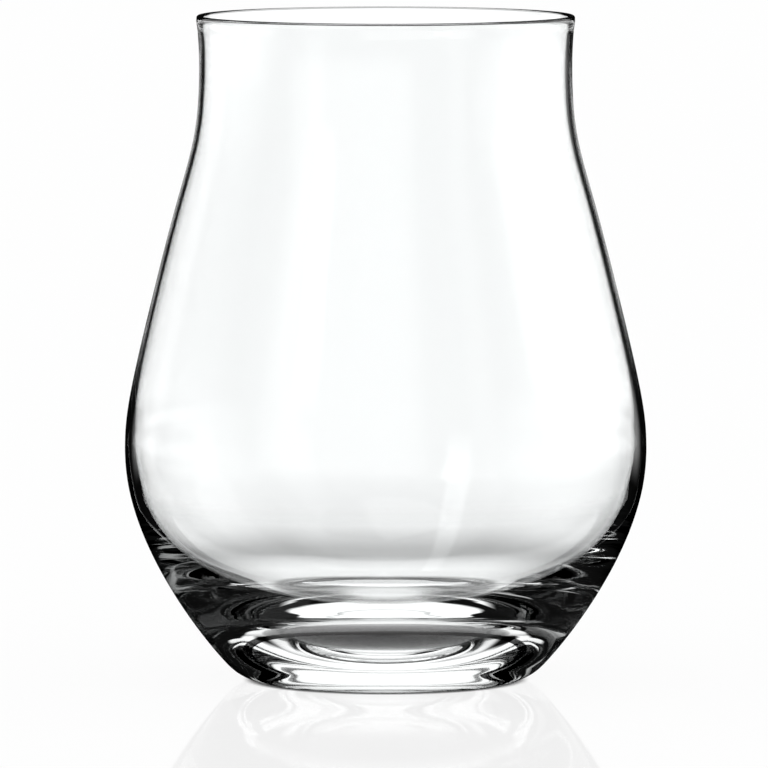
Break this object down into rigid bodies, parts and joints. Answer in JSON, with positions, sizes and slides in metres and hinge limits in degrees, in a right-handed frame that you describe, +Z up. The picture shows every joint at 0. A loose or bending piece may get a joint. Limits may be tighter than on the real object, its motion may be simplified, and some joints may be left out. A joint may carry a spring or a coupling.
{
  "type": "stemless tumbler glass",
  "caption": "Clear stemless tulip tumbler: thin wall, wide belly, narrow mouth with a slightly flared lip, and a thick solid base on a flat standing ring.",
  "frame": {"origin": "on the glass's axis, in the plane of the standing ring", "axes": "+Z up along the axis towards the mouth; X and Y are any two level directions, because the glass is round"},
  "size_m": [0.0862, 0.0862, 0.11],
  "materials": {
    "clear_glass": "fire-polished clear"
  },
  "bodies": {
    "root": {"tumbler_glass": "clear_glass"}
  },
  "joints": []
}
